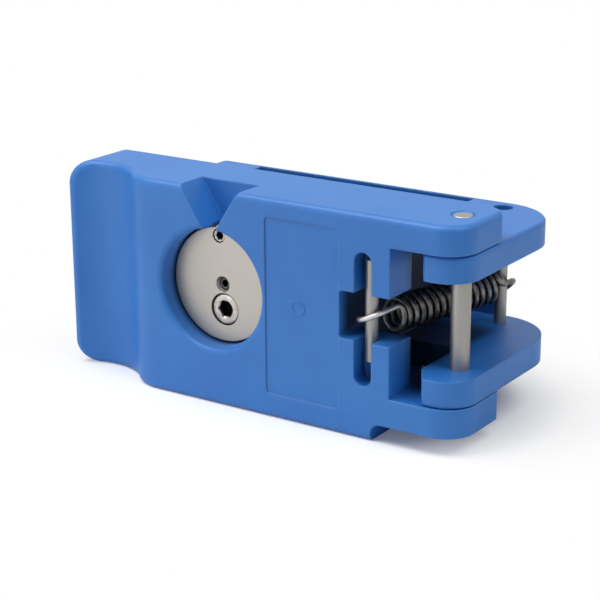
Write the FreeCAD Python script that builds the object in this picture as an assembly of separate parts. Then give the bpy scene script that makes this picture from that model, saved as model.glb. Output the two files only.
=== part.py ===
import FreeCAD, Part
import math
import os

from FreeCAD import Vector

# Cable stripping tool: two moulded jaws on one hinge pin, pulled shut by a tension spring.
# Sizes are millimetres. The model is laid out from the hinge axis (x along the jaws, y from front
# to back, z up from the surface it stands on) and moved to its own origin when it is written.

# Front jaw
jaw_height = 69.8
grip_reach = 142.7
front_reach = 15.5
parting_offset = 14.6
ear_reach = 8.4
ear_thickness = 8.8
ear_corner_radius = 9.5
ear_back_radius = 20.0
ear_back_reach = 8.3
lower_ear_lift = 5.7
lower_ear_step = 21.5
lower_ear_fillet = 3.4
grip_corner_radius = 7.5
edge_radius = 2.0
back_edge_radius = 1.0
scoop_depth = 10.8
scoop_radius = 19.1
scoop_blend_radius = 15.0
scoop_setback = 15.0
panel_width = 26.5
panel_height = 56.5
panel_depth = 0.4
panel_right = 32.7
panel_bottom = 7.8
panel_corner_radius = 1.5

# Spring bay of the front jaw: window between the ears, cheek, pin slot and hook notch
cheek_edge = 15.1
cheek_depth = 12.5
bay_edge = 33.0
slot_width = 6.1
slot_length = 41.4
slot_bottom = 16.9
notch_height = 14.9
notch_drop = 5.3
notch_edge = 32.7
notch_corner_radius = 1.5

# Hinge, rear jaw and its tongues
hinge_pin_radius = 3.0
hinge_pin_recess = 0.1
hinge_mouth_chamfer = 1.0
hole_chamfer = 0.5
running_clearance = 0.05
ear_gap = 0.4
parting_gap = 0.4
tongue_thickness = 8.0
tongue_edge = 9.0
tongue_reach = 8.4
tongue_nose = 14.4
tongue_corner_radius = 9.5
tongue_shoulder = 6.9
tongue_toe = 4.5
tongue_toe_radius = 1.5
tongue_edge_radius = 1.2
rear_reach = 51.6
rear_length = 123.0
rear_corner_radius = 19.0
rear_end_radius = 2.0
rear_bay_edge = 30.0
rear_wall = 1.8
rear_wall_end = 14.5
pocket_left = 106.0
pocket_right = 23.0
pocket_width = 10.0
pocket_floor = 8.0

# Cable seat of the rear jaw with its two guide rollers
channel_radius = 14.0
channel_depth = 22.0
roller_radius = 6.0
roller_length = 36.0
roller_proud = 2.0
roller_angle = 60.0
roller_clearance = 0.4
roller_chamfer = 0.8
axle_radius = 2.5
axle_seat = 7.0

# Spring and its two pins
front_pin_radius = 2.0
front_pin_length = 32.0
front_pin_bottom = 23.3
front_pin_x = -24.25
front_pin_depth = 5.3
front_pin_slack = 0.3
front_pin_seat = 0.8
rear_pin_radius = 2.0
rear_pin_x = -10.2
rear_pin_inset = 6.8
rear_pin_recess = 3.5
rear_pin_foot = 1.0
rear_mouth_radius = 3.2
rear_mouth_depth = 3.0
spring_height = 36.0
spring_wire = 1.7
spring_radius = 4.7
spring_pitch = 2.4
hook_length = 8.8
hook_bend = 2.2
hook_dip = 6.0
hook_slack = 0.3
front_hook_tail = 50.0
front_hook_tilt = 22.0
rear_hook_tail = 20.0
rear_hook_tilt = 42.0

# Blade carrier in the front jaw
carrier_x = -80.3
carrier_turn = 4.5
carrier_z = 37.5
carrier_radius = 18.9
carrier_recess = 7.0
carrier_thickness = 7.9
carrier_edge = 0.4
carrier_clearance = 0.3
carrier_seat_gap = 0.1
recess_lip_radius = 1.8
boss_radius = 13.0
boss_recess = 0.3
ring_width = 4.5
ring_thickness = 1.3
ring_groove_depth = 1.0
ring_setback = 0.5
ring_opening = 7.0
washer_thickness = 0.8
washer_width = 3.7
chute_half_width = 11.0
chute_depth = 12.1
chute_slope = 33.2

# Blade and the screws that are seen on the carrier's face
blade_length = 22.0
blade_width = 8.0
blade_base = 3.0
blade_corner = 3.0
blade_fit = 0.05
edge_length = 12.0
edge_thickness = 1.6
edge_height = 4.2
edge_slant = 30.0
clamp_offset = 8.2
clamp_head_radius = 5.0
clamp_head_height = 6.0
clamp_shank_radius = 3.0
clamp_socket = 5.0
clamp_socket_depth = 3.2
clamp_recess = 0.3
clamp_chamfer = 0.3
depth_screw_radius = 2.0
depth_screw_recess = 1.2
depth_screw_socket = 2.2
plunger_offset = 15.7
plunger_radius = 2.3
plunger_recess = 0.4
plunger_length = 6.2
plunger_socket = 2.6
socket_depth = 2.0
plunger_floor = 1.0
ball_radius = 1.5
ball_proud = 0.9
track_clearance = 0.3
plunger_spring_radius = 1.2
plunger_spring_wire = 0.4
plunger_spring_turns = 3
screw_fit = 0.02

# Levels and faces that several pieces share
upper_ear_bottom = jaw_height - ear_thickness
lower_ear_top = lower_ear_lift + ear_thickness
upper_tongue_top = upper_ear_bottom - ear_gap
upper_tongue_bottom = upper_tongue_top - tongue_thickness
lower_tongue_bottom = lower_ear_top + ear_gap
lower_tongue_top = lower_tongue_bottom + tongue_thickness
front_face = -front_reach
rear_face = parting_offset + parting_gap
cheek_back = front_face + cheek_depth
carrier_face = front_face + carrier_recess
carrier_back = carrier_face + carrier_thickness
carrier_shoulder = carrier_back + carrier_seat_gap
boss_end = parting_offset - boss_recess
front_pin_y = front_face + front_pin_depth
slot_floor = front_pin_y + front_pin_radius - front_pin_seat
rear_pin_y = rear_reach - rear_pin_inset
notch_bottom = spring_height - notch_drop
channel_y = rear_face + channel_depth - channel_radius
beyond = 5.0
touch = 1e-4

# The origin: the middle of the closed tool's footprint
right_reach = max(ear_reach, tongue_reach)
to_origin = Vector((grip_reach - right_reach) / 2, (front_reach - rear_reach) / 2, 0)


def box(x0, x1, y0, y1, z0, z1):
    return Part.makeBox(x1 - x0, y1 - y0, z1 - z0, Vector(x0, y0, z0))


def upright(x, y, z0, z1, radius):
    """A cylinder parallel to the hinge."""
    return Part.makeCylinder(radius, z1 - z0, Vector(x, y, z0), Vector(0, 0, 1))


def bored(x, z, y0, y1, radius, radius_end=None):
    """A cylinder or cone that runs from front to back."""
    if radius_end is None:
        return Part.makeCylinder(radius, y1 - y0, Vector(x, y0, z), Vector(0, 1, 0))
    return Part.makeCone(radius, radius_end, y1 - y0, Vector(x, y0, z), Vector(0, 1, 0))


def outline(start, *steps):
    """A closed wire: a step is an end point, or a pair of a point on an arc and its end point."""
    edges = []
    here = start
    for step in steps:
        if isinstance(step, tuple):
            through, end = step
            edges.append(Part.Arc(here, through, end).toShape())
        else:
            end = step
            edges.append(Part.LineSegment(here, end).toShape())
        here = end
    if here.distanceToPoint(start) > touch:
        edges.append(Part.LineSegment(here, start).toShape())
    return Part.Wire(edges)


def prism(wire, along):
    return Part.Face(wire).extrude(along)


def corner(centre, radius, degrees):
    """A point on a corner arc."""
    turn = math.radians(degrees)
    return centre + Vector(radius * math.cos(turn), radius * math.sin(turn), 0)


def rounded_slab(x0, x1, z0, z1, radius, y0, y1):
    """A block with its four corners rounded in the front view."""
    slab = box(x0, x1, y0, y1, z0, z1)
    lengthwise = [e for e in slab.Edges if abs(e.tangentAt(e.FirstParameter).y) > 0.9]
    return slab.makeFillet(radius, lengthwise)


def hexagon(x, z, across, y0, y1):
    """A hexagon socket that runs from front to back."""
    reach = across / math.sqrt(3)
    points = [Vector(x + reach * math.cos(k * math.pi / 3), y0, z + reach * math.sin(k * math.pi / 3))
              for k in range(6)]
    return prism(Part.makePolygon(points + points[:1]), Vector(0, y1 - y0, 0))


def front_jaw_block():
    """The moulded block with its finger scoop, before anything is cut from it."""
    scoop_x = -grip_reach + scoop_setback
    hollow = Vector(scoop_x, front_face + scoop_depth - scoop_radius, 0)
    lip_y = hollow.y + math.sqrt(scoop_radius ** 2 - scoop_setback ** 2)
    rise = front_face + scoop_blend_radius - hollow.y
    run = math.sqrt((scoop_radius + scoop_blend_radius) ** 2 - rise ** 2)
    blend = Vector(scoop_x + run, front_face + scoop_blend_radius, 0)
    steepness = math.degrees(math.atan2(rise, run))
    ear = Vector(ear_reach - ear_corner_radius, front_face + ear_corner_radius, 0)
    wire = outline(
        Vector(-grip_reach, parting_offset, 0),
        Vector(-grip_reach, lip_y, 0),
        (corner(hollow, scoop_radius, 90), corner(hollow, scoop_radius, steepness)),
        (corner(blend, scoop_blend_radius, (steepness - 270) / 2),
         corner(blend, scoop_blend_radius, -90)),
        corner(ear, ear_corner_radius, -90),
        (corner(ear, ear_corner_radius, -45), corner(ear, ear_corner_radius, 0)),
        Vector(ear_reach, parting_offset, 0))
    block = prism(wire, Vector(0, 0, jaw_height))
    grip_end = [e for e in block.Edges if abs(e.CenterOfMass.x + grip_reach) < touch]
    block = block.makeFillet(grip_corner_radius, [e for e in grip_end if not runs_upright(e)])
    block = block.makeFillet(edge_radius, [e for e in block.Edges if on_front_rim(e)])
    return block.makeFillet(back_edge_radius, [e for e in block.Edges if on_back_rim(e)])


def on_back_rim(edge):
    """The top edge of the clamping face, from which the rounding runs on round the whole face."""
    at_top = edge.BoundBox.ZMin > jaw_height - touch
    return at_top and edge.BoundBox.YMin > parting_offset - touch


def on_front_rim(edge):
    """Edges of the block that are rounded: its lip, and the rims of the front and of the ears' side."""
    middle = edge.CenterOfMass
    if runs_upright(edge):
        return middle.x < touch - grip_reach and middle.y < 0
    return edge.BoundBox.YMax < 0 or middle.x > ear_reach - touch


def ear_back_corner():
    """What is cut away to round the ears where they meet the clamping face."""
    rise = ear_back_reach + ear_back_radius - parting_offset
    run = math.sqrt(ear_back_radius ** 2 - rise ** 2)
    back = Vector(ear_reach - run, parting_offset - ear_back_radius, -beyond)
    steepness = math.degrees(math.atan2(rise, run))
    wire = outline(
        corner(back, ear_back_radius, steepness),
        (corner(back, ear_back_radius, (steepness + 90) / 2), corner(back, ear_back_radius, 90)),
        Vector(ear_reach, parting_offset, -beyond))
    return prism(wire, Vector(0, 0, jaw_height + 2 * beyond))


def runs_upright(edge):
    return edge.BoundBox.XLength + edge.BoundBox.YLength < touch


def lipped_pocket(block):
    """The block with the carrier's round pocket, whose mouth is rounded over."""
    radius = carrier_radius + carrier_clearance
    block = block.cut(bored(carrier_x, carrier_z, front_face - beyond, carrier_shoulder, radius))
    rim = [e for e in block.Edges if on_pocket_mouth(e, radius)]
    return block.makeFillet(recess_lip_radius, rim)


def on_pocket_mouth(edge, radius):
    middle = edge.valueAt((edge.FirstParameter + edge.LastParameter) / 2)
    reach = math.hypot(middle.x - carrier_x, middle.z - carrier_z)
    return abs(reach - radius) < touch and edge.BoundBox.YMax < carrier_face


def front_jaw():
    jaw = lipped_pocket(front_jaw_block())
    right = ear_reach + beyond
    ahead = front_face - beyond
    behind = parting_offset + beyond
    window = box(-cheek_edge, right, ahead, behind, lower_ear_top, upper_ear_bottom)
    bay = box(-bay_edge, right, cheek_back, behind, lower_ear_top, upper_ear_bottom)
    fillet_centre = Vector(-lower_ear_step + lower_ear_fillet, ahead, lower_ear_lift - lower_ear_fillet)
    half = lower_ear_fillet * math.sqrt(0.5)
    under_ear = prism(outline(
        Vector(-lower_ear_step, ahead, -beyond),
        Vector(-lower_ear_step, ahead, lower_ear_lift - lower_ear_fillet),
        (fillet_centre + Vector(-half, 0, half), fillet_centre + Vector(0, 0, lower_ear_fillet)),
        Vector(right, ahead, lower_ear_lift),
        Vector(right, ahead, -beyond)), Vector(0, behind - ahead, 0))
    slot_low = slot_bottom + slot_width / 2
    slot_high = slot_bottom + slot_length - slot_width / 2
    slot_half = slot_width / 2
    slot_ends = [bored(front_pin_x, z, ahead, slot_floor, slot_half) for z in (slot_low, slot_high)]
    slot = box(front_pin_x - slot_half, front_pin_x + slot_half, ahead, slot_floor, slot_low, slot_high)
    slot = slot.fuse(slot_ends)
    seat = upright(front_pin_x, front_pin_y, front_pin_bottom - front_pin_slack,
                   front_pin_bottom + front_pin_length + front_pin_slack, front_pin_radius + screw_fit)
    notch = rounded_slab(-notch_edge, right, notch_bottom, notch_bottom + notch_height,
                         notch_corner_radius, ahead, cheek_back + beyond)
    panel = rounded_slab(-panel_right - panel_width, -panel_right,
                         panel_bottom, panel_bottom + panel_height,
                         panel_corner_radius, ahead, front_face + panel_depth)
    cuts = [ear_back_corner(), window, bay, under_ear, slot, seat, notch, panel, hinge_mouth()]
    cuts += [hinge_hole(z) for z in (lower_ear_lift, upper_ear_bottom)]
    cuts += carrier_bore()
    return jaw.cut(cuts).removeSplitter()


def hinge_hole(z):
    return upright(0, 0, z - beyond / 2, z + ear_thickness + beyond / 2, hinge_pin_radius + screw_fit)


def hinge_mouth():
    """The chamfer round the hinge pin's end on the top face."""
    inner = hinge_pin_radius + screw_fit
    return Part.makeCone(inner, inner + hinge_mouth_chamfer, hinge_mouth_chamfer,
                         Vector(0, 0, jaw_height - hinge_mouth_chamfer))


def carrier_bore():
    """What is cut behind the carrier's pocket, and the chip chute that opens the pocket to the top."""
    throat = bored(carrier_x, carrier_z, carrier_shoulder, parting_offset, boss_radius + running_clearance)
    ring_well = bored(carrier_x, carrier_z, washer_seat(), parting_offset + beyond,
                      boss_radius + running_clearance + washer_width + 2 * carrier_clearance)
    track_radius = ball_radius + track_clearance
    track = Part.makeTorus(plunger_offset, track_radius,
                           Vector(carrier_x, ball_centre(), carrier_z), Vector(0, 1, 0))
    narrowing = math.tan(math.radians(chute_slope))
    drop = chute_half_width / narrowing
    top = jaw_height + beyond
    wide = chute_half_width + beyond * narrowing
    chute = prism(Part.makePolygon([
        Vector(carrier_x - wide, front_face - beyond, top),
        Vector(carrier_x + wide, front_face - beyond, top),
        Vector(carrier_x, front_face - beyond, jaw_height - drop),
        Vector(carrier_x - wide, front_face - beyond, top)]), Vector(0, chute_depth + beyond, 0))
    return [throat, ring_well, track, chute]


def washer_seat():
    """Where the thrust washer rests: washer and retaining ring fill the well behind it."""
    return boss_end - ring_setback - ring_thickness - washer_thickness - 2 * carrier_seat_gap


def ball_centre():
    return carrier_back + ball_proud - ball_radius


def thrust_washer():
    inner = boss_radius + 2 * running_clearance
    outer = boss_radius + washer_width
    y = washer_seat()
    ring = bored(carrier_x, carrier_z, y, y + washer_thickness, outer)
    return ring.cut(bored(carrier_x, carrier_z, y, y + washer_thickness, inner))


def retaining_ring():
    """An open spring ring that sits in the groove of the carrier's boss."""
    inner = boss_radius - ring_groove_depth
    y = boss_end - ring_setback - ring_thickness
    ring = bored(carrier_x, carrier_z, y, y + ring_thickness, inner + ring_width)
    hole = bored(carrier_x, carrier_z, y, y + ring_thickness, inner + screw_fit)
    mouth = box(carrier_x - ring_opening / 2, carrier_x + ring_opening / 2, y, y + ring_thickness,
                carrier_z + inner / 2, carrier_z + inner + ring_width + beyond)
    return ring.cut([hole, mouth])


def blade_carrier():
    """The steel disc seen in the front jaw, turned in one piece with its boss."""
    disc = bored(carrier_x, carrier_z, carrier_face, carrier_back, carrier_radius)
    rim = [e for e in disc.Edges if e.Closed and abs(e.CenterOfMass.y - carrier_face) < touch]
    disc = disc.makeChamfer(carrier_edge, rim)
    boss = bored(carrier_x, carrier_z, carrier_back, boss_end, boss_radius)
    groove_start = boss_end - ring_setback - ring_thickness - screw_fit
    groove_end = boss_end - ring_setback + screw_fit
    core = bored(carrier_x, carrier_z, groove_start, groove_end, boss_radius - ring_groove_depth)
    groove = bored(carrier_x, carrier_z, groove_start, groove_end, boss_radius + beyond).cut(core)
    blade_seat = blade_block(blade_fit, boss_end + beyond)
    clamp_z = carrier_z - clamp_offset
    plunger_z = carrier_z + plunger_offset
    holes = [
        bored(carrier_x, clamp_z, carrier_face, clamp_head_seat(), clamp_head_radius + clamp_recess),
        bored(carrier_x, clamp_z, carrier_face, boss_end, clamp_shank_radius + screw_fit),
        bored(carrier_x, carrier_z, carrier_face, boss_end, depth_screw_radius + screw_fit),
        bored(carrier_x, carrier_z, carrier_face, carrier_face + depth_screw_recess,
              depth_screw_radius + depth_screw_recess / 2, depth_screw_radius + screw_fit),
        bored(carrier_x, plunger_z, carrier_face, carrier_back, plunger_radius + screw_fit)]
    return disc.fuse(boss).removeSplitter().cut([groove, blade_seat, *holes])


def clamp_head_seat():
    return carrier_face + clamp_recess + clamp_head_height


def blade_block(grow, end):
    """The blade's base, or the seat for it when it is grown by a clearance."""
    return rounded_slab(carrier_x - blade_width / 2 - grow, carrier_x + blade_width / 2 + grow,
                        carrier_z - blade_length / 2 - grow, carrier_z + blade_length / 2 + grow,
                        blade_corner + grow, boss_end - blade_base, end)


def cutting_blade():
    """A base that lies in the carrier's boss, with a wedge that stands out into the cable seat."""
    base = blade_block(0, boss_end)
    wedge = prism(Part.makePolygon([
        Vector(carrier_x - edge_thickness / 2, boss_end, carrier_z - edge_length / 2),
        Vector(carrier_x + edge_thickness / 2, boss_end, carrier_z - edge_length / 2),
        Vector(carrier_x, boss_end + edge_height, carrier_z - edge_length / 2),
        Vector(carrier_x - edge_thickness / 2, boss_end, carrier_z - edge_length / 2)]),
        Vector(0, 0, edge_length))
    slant = (edge_height + beyond) * math.tan(math.radians(edge_slant))
    for side in (-1, 1):
        tip = carrier_z + side * edge_length / 2
        wedge = wedge.cut(prism(Part.makePolygon([
            Vector(carrier_x - edge_thickness, boss_end, tip),
            Vector(carrier_x - edge_thickness, boss_end + edge_height + beyond, tip),
            Vector(carrier_x - edge_thickness, boss_end + edge_height + beyond, tip - side * slant),
            Vector(carrier_x - edge_thickness, boss_end, tip)]), Vector(2 * edge_thickness, 0, 0)))
    thread = bored(carrier_x, carrier_z - clamp_offset, boss_end - blade_base, boss_end,
                   clamp_shank_radius + screw_fit)
    return base.fuse(wedge).removeSplitter().cut(thread)


def clamp_screw():
    """Socket head cap screw that pulls the blade's base into its seat."""
    z = carrier_z - clamp_offset
    face = carrier_face + clamp_recess
    head = bored(carrier_x, z, face, clamp_head_seat(), clamp_head_radius)
    rim = [e for e in head.Edges if e.Closed and abs(e.CenterOfMass.y - face) < touch]
    head = head.makeChamfer(clamp_chamfer, rim)
    shank = bored(carrier_x, z, clamp_head_seat(), boss_end - clamp_recess, clamp_shank_radius)
    socket = hexagon(carrier_x, z, clamp_socket, face, face + clamp_socket_depth)
    return head.fuse(shank).removeSplitter().cut(socket)


def depth_screw():
    """Grub screw on the carrier's centre that bears on the back of the blade."""
    start = carrier_face + depth_screw_recess
    body = bored(carrier_x, carrier_z, start, boss_end - blade_base, depth_screw_radius)
    return body.cut(hexagon(carrier_x, carrier_z, depth_screw_socket, start, start + socket_depth))


def index_plunger():
    """Hollow screw that holds the index ball and its spring behind the carrier's rim."""
    z = carrier_z + plunger_offset
    start = carrier_face + plunger_recess
    end = start + plunger_length
    body = bored(carrier_x, z, start, end, plunger_radius)
    well = bored(carrier_x, z, start + socket_depth + plunger_floor, end, ball_radius + screw_fit)
    return body.cut([well, hexagon(carrier_x, z, plunger_socket, start, start + socket_depth)])


def index_spring():
    """Rings of the small compression spring behind the index ball, joined by a thin sleeve."""
    z = carrier_z + plunger_offset
    start = carrier_face + plunger_recess + socket_depth + plunger_floor
    end = ball_centre() - ball_radius
    inner = plunger_spring_radius - plunger_spring_wire
    sleeve = bored(carrier_x, z, start, end, inner + plunger_spring_wire / 2)
    half_wire = plunger_spring_wire / 2
    pitch = (end - start - plunger_spring_wire) / plunger_spring_turns
    rings = [Part.makeTorus(plunger_spring_radius - half_wire, half_wire,
                            Vector(carrier_x, start + half_wire + k * pitch, z), Vector(0, 1, 0))
             for k in range(plunger_spring_turns + 1)]
    return sleeve.fuse(rings).cut(bored(carrier_x, z, start, end, inner)).removeSplitter()


def index_ball():
    return Part.makeSphere(ball_radius, Vector(carrier_x, ball_centre(), carrier_z + plunger_offset))


def hinge_pin():
    pin = upright(0, 0, lower_ear_lift + hinge_pin_recess, jaw_height - hinge_pin_recess,
                  hinge_pin_radius)
    return chamfered_ends(pin, hole_chamfer)


def chamfered_ends(rod, size):
    """A round rod or roller with both end rims chamfered."""
    reach = rod.BoundBox.XLength / 2
    rims = [e for e in rod.Edges if e.Closed and abs(e.BoundBox.XLength / 2 - reach) < touch]
    return rod.makeChamfer(size, rims)


def front_spring_pin():
    top = front_pin_bottom + front_pin_length
    pin = upright(front_pin_x, front_pin_y, front_pin_bottom, top, front_pin_radius)
    return chamfered_ends(pin, hole_chamfer)


def rear_spring_pin():
    pin = upright(rear_pin_x, rear_pin_y, lower_tongue_bottom + rear_pin_foot,
                  upper_tongue_top - rear_pin_recess, rear_pin_radius)
    return chamfered_ends(pin, hole_chamfer)


def rear_jaw_block():
    """The rear jaw's plan, with the rounded tongue that turns between the front jaw's ears."""
    nose = Vector(tongue_reach - tongue_corner_radius, -tongue_nose + tongue_corner_radius, 0)
    heel = Vector(tongue_reach - rear_corner_radius, rear_reach - rear_corner_radius, 0)
    end = Vector(-rear_length + rear_end_radius, rear_reach - rear_end_radius, 0)
    wire = outline(
        Vector(-rear_length, rear_face, 0),
        Vector(-tongue_edge, rear_face, 0),
        Vector(-tongue_edge, -tongue_shoulder, 0),
        Vector(-tongue_toe, -tongue_nose, 0),
        corner(nose, tongue_corner_radius, -90),
        (corner(nose, tongue_corner_radius, -45), corner(nose, tongue_corner_radius, 0)),
        corner(heel, rear_corner_radius, 0),
        (corner(heel, rear_corner_radius, 45), corner(heel, rear_corner_radius, 90)),
        corner(end, rear_end_radius, 90),
        (corner(end, rear_end_radius, 135), corner(end, rear_end_radius, 180)))
    block = prism(wire, Vector(0, 0, upper_tongue_top))
    block = block.makeFillet(tongue_toe_radius, [e for e in block.Edges if on_tongue_toe(e)])
    return block.makeFillet(tongue_edge_radius, [e for e in block.Edges if on_tongue_side(e)])


def on_tongue_toe(edge):
    """The upright edge where the tongue's slanted side meets its front."""
    toe = Vector(-tongue_toe, -tongue_nose, edge.CenterOfMass.z)
    return runs_upright(edge) and edge.CenterOfMass.distanceToPoint(toe) < touch


def on_tongue_side(edge):
    """The top edge along the tongue's side, from which the rounding runs on round the rear jaw."""
    at_top = edge.BoundBox.ZMin > upper_tongue_top - touch
    return at_top and abs(edge.CenterOfMass.x - tongue_reach) < touch


def rear_jaw():
    jaw = rear_jaw_block()
    right = tongue_reach + beyond
    ahead = front_face - beyond
    behind = rear_reach + beyond
    under_tongue = box(-lower_ear_step, right, ahead, behind, -beyond, lower_tongue_bottom)
    bay = box(-rear_bay_edge, right, ahead, rear_reach - rear_wall, lower_tongue_top, upper_tongue_bottom)
    bay_exit = box(-rear_wall_end, right, ahead, behind, lower_tongue_top, upper_tongue_bottom)
    pocket = box(-pocket_left, -pocket_right, rear_reach - rear_wall - pocket_width, rear_reach - rear_wall,
                 pocket_floor, upper_tongue_top + beyond)
    channel = upright(carrier_x, channel_y, -beyond, upper_tongue_top + beyond, channel_radius)
    mouth = box(carrier_x - channel_radius, carrier_x + channel_radius, rear_face - beyond, channel_y,
                -beyond, upper_tongue_top + beyond)
    hinge = upright(0, 0, lower_tongue_bottom - beyond, upper_tongue_top + beyond,
                    hinge_pin_radius + running_clearance)
    rear_pin = upright(rear_pin_x, rear_pin_y, lower_tongue_bottom + rear_pin_foot,
                       upper_tongue_top + beyond, rear_pin_radius + screw_fit)
    rear_mouth = upright(rear_pin_x, rear_pin_y, upper_tongue_top - rear_mouth_depth,
                         upper_tongue_top + beyond, rear_mouth_radius)
    cuts = [under_tongue, bay, bay_exit, pocket, channel, mouth, hinge, rear_pin, rear_mouth]
    for side in (-1, 1):
        x, y = roller_place(side)
        bottom = roller_bottom()
        top = bottom + roller_length
        cuts.append(upright(x, y, bottom - roller_clearance, top + roller_clearance,
                            roller_radius + roller_clearance))
        cuts.append(upright(x, y, bottom - axle_seat, upper_tongue_top + beyond, axle_radius + screw_fit))
    return jaw.cut(cuts).removeSplitter()


def roller_place(side):
    """Plan position of a guide roller, which stands proud of the cable seat's wall."""
    reach = channel_radius + roller_radius - roller_proud
    turn = math.radians(roller_angle)
    return carrier_x + side * reach * math.sin(turn), channel_y + reach * math.cos(turn)


def roller_bottom():
    return (upper_tongue_top - roller_length) / 2


def guide_roller(side):
    x, y = roller_place(side)
    bottom = roller_bottom()
    roller = chamfered_ends(upright(x, y, bottom, bottom + roller_length, roller_radius), roller_chamfer)
    return roller.cut(upright(x, y, bottom, bottom + roller_length, axle_radius + running_clearance))


def roller_axle(side):
    x, y = roller_place(side)
    bottom = roller_bottom()
    return upright(x, y, bottom - axle_seat, bottom + roller_length + axle_seat, axle_radius)


def tension_spring():
    """Open coil of tangent half turns between two hooks, one round each spring pin."""
    front = Vector(front_pin_x, front_pin_y, spring_height)
    rear = Vector(rear_pin_x, rear_pin_y, spring_height)
    span = front.distanceToPoint(rear)
    along = (rear - front).normalize()
    level = Vector(-along.y, along.x, 0)

    def turned(degrees):
        """Places along, across and below the spring's axis, in a frame that is turned about it."""
        tilt = math.radians(degrees)
        across = level * math.cos(tilt) - Vector(0, 0, math.sin(tilt))
        below = across.cross(along)
        return lambda u, v, w: front + along * u + across * v + below * w

    at = turned(front_hook_tilt)

    def part_turn(u, start, end):
        """An arc of the coil's circle at one place along the spring."""
        points = [at(u, spring_radius * math.sin(turn), spring_radius * math.cos(turn))
                  for turn in (start, (start + end) / 2, end)]
        return Part.Arc(*points).toShape()

    coil = span - 2 * hook_length
    half_turns = 2 * round(coil / spring_pitch) + 1
    step = coil / half_turns
    quarter = math.pi / 2
    swing = math.radians(front_hook_tilt - rear_hook_tilt)
    edges = hook(at, 0, 1, front_pin_radius, front_hook_tail)
    edges.append(part_turn(hook_length, -quarter, 0))
    for k in range(half_turns):
        start = hook_length + k * step
        way = 1 if k % 2 == 0 else -1
        edges.append(Part.Arc(at(start, 0, way * spring_radius),
                              at(start + step / 2, way * math.hypot(spring_radius, step / 2), 0),
                              at(start + step, 0, -way * spring_radius)).toShape())
    edges.append(part_turn(span - hook_length, math.pi, 3 * quarter + swing))
    edges += reversed(hook(turned(rear_hook_tilt), span, -1, rear_pin_radius, rear_hook_tail))
    path = Part.Wire(Part.__sortEdges__(edges))
    first = edges[0]
    section = Part.Wire(Part.makeCircle(spring_wire / 2, first.valueAt(first.FirstParameter),
                                        first.tangentAt(first.FirstParameter)))
    return path.makePipeShell([section], True, False)


def hook(at, pin, way, pin_radius, tail):
    """One end hook: a loop round the pin, a run that rises beside it and a bend down to the coil."""
    dip = math.radians(hook_dip)
    quarter = math.pi / 2
    tail_turn = math.radians(tail)
    bend_centre = pin + way * (hook_length - hook_bend)
    bend_start = bend_centre - way * hook_bend * math.sin(dip)
    loop_centre = pin + way * (spring_radius - pin_radius - spring_wire / 2 - hook_slack)
    run = abs(bend_start - loop_centre) / math.cos(dip)

    def bend(turn):
        return at(bend_centre + way * hook_bend * math.cos(turn), -spring_radius,
                  -way * hook_bend * math.sin(turn))

    def loop(turn):
        out = run + spring_radius * math.cos(turn)
        return at(bend_start - way * out * math.cos(dip), spring_radius * math.sin(turn),
                  way * (out * math.sin(dip) - hook_bend * math.cos(dip)))

    return [
        Part.Arc(loop(tail_turn), loop((tail_turn - quarter) / 2), loop(-quarter)).toShape(),
        Part.LineSegment(loop(-quarter), bend(quarter + dip)).toShape(),
        Part.Arc(bend(quarter + dip), bend((quarter + dip) / 2), bend(0)).toShape()]


pieces = {
    "front_jaw": front_jaw(),
    "rear_jaw": rear_jaw(),
    "hinge_pin": hinge_pin(),
    "front_spring_pin": front_spring_pin(),
    "rear_spring_pin": rear_spring_pin(),
    "tension_spring": tension_spring(),
    "blade_carrier": blade_carrier(),
    "carrier_thrust_washer": thrust_washer(),
    "carrier_retaining_ring": retaining_ring(),
    "cutting_blade": cutting_blade(),
    "blade_clamp_screw": clamp_screw(),
    "blade_depth_screw": depth_screw(),
    "index_plunger": index_plunger(),
    "index_spring": index_spring(),
    "index_ball": index_ball(),
    "left_guide_roller": guide_roller(-1),
    "right_guide_roller": guide_roller(1),
    "left_roller_axle": roller_axle(-1),
    "right_roller_axle": roller_axle(1),
}

on_carrier = ["blade_carrier", "carrier_retaining_ring", "cutting_blade", "blade_clamp_screw",
              "blade_depth_screw", "index_plunger", "index_spring", "index_ball"]
for name in on_carrier:
    pieces[name].rotate(Vector(carrier_x, 0, carrier_z), Vector(0, -1, 0), carrier_turn)

os.makedirs("parts", exist_ok=True)
for name, shape in pieces.items():
    placed = shape.copy()
    placed.translate(to_origin)
    placed.exportStep(os.path.join("parts", name + ".step"))
    print(name, len(placed.Solids), placed.isValid(), round(placed.Volume, 2))
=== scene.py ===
# %% [markdown]
# A spring-closed cable stripping tool
# The tool is two moulded blue jaws on one hinge pin. A tension spring pulls them shut round a cable, and a
# steel carrier in the front jaw turns the blade. The solids arrive as a fixed frame, so this lesson only
# dresses them: round pieces are worked out again as smooth surfaces, and every surface gets its own finish.

import math

import bmesh
import bpy
import numpy as np
from mathutils import Matrix, Vector


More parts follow.
